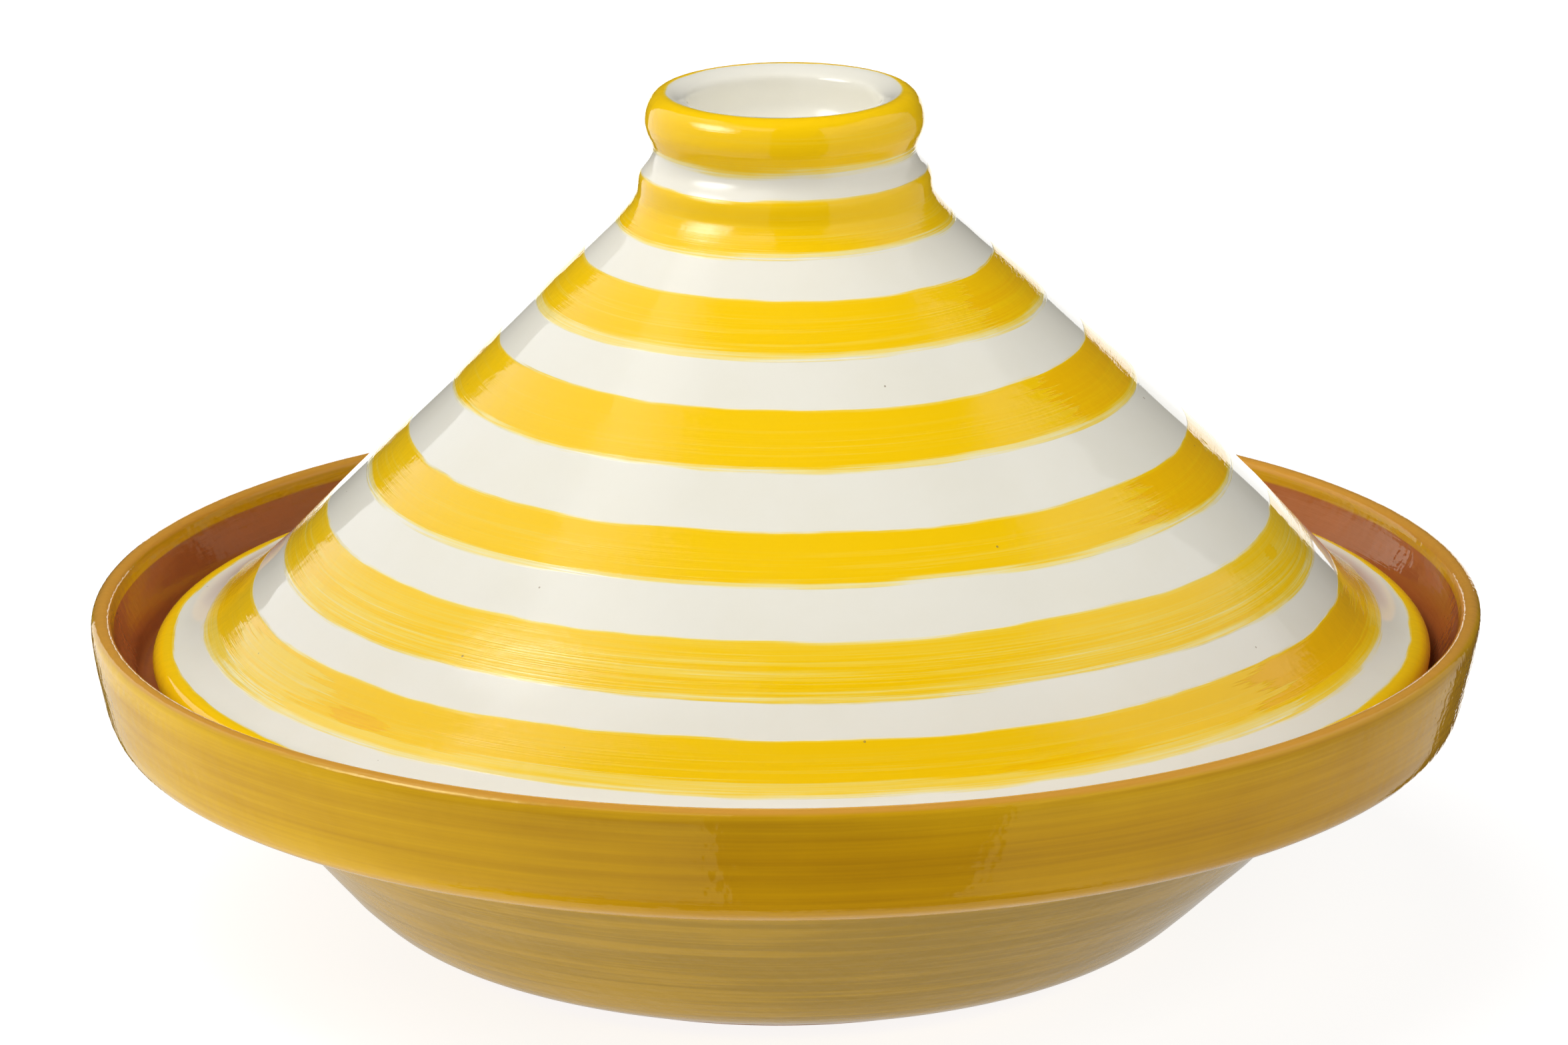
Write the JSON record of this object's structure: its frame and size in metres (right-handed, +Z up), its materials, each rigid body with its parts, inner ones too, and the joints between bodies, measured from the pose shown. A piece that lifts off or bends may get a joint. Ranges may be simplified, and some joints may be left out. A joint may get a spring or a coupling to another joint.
{
  "type": "tagine pot",
  "caption": "Round glazed earthenware tagine: shallow spreading dish with a stepped collar and a loose conical lid, hand-striped, topped by an open cup knob.",
  "frame": {"origin": "middle of the standing ring's underside, on the surface the pot stands on", "axes": "+Z up along the turning axis of the dish and lid; the shape is round about Z; -Y is the side that the paintwork is shown from, +X is to that viewer's right"},
  "size_m": [0.32, 0.32, 0.1982],
  "materials": {
    "dish_glaze": "glossy ochre glaze over terracotta, brushed on in rings, red-brown inside",
    "lid_glaze": "glossy clear glaze over warm white, with hand-brushed yellow bands"
  },
  "bodies": {
    "dish": {"dish": "dish_glaze"},
    "lid": {"lid_cone": "lid_glaze", "lid_knob_cup": "lid_glaze"}
  },
  "joints": [
    {"name": "lid_lift", "type": "slide", "parent": "dish", "child": "lid", "axis": [0, 0, 1], "range_m": [0, 0.12]}
  ]
}
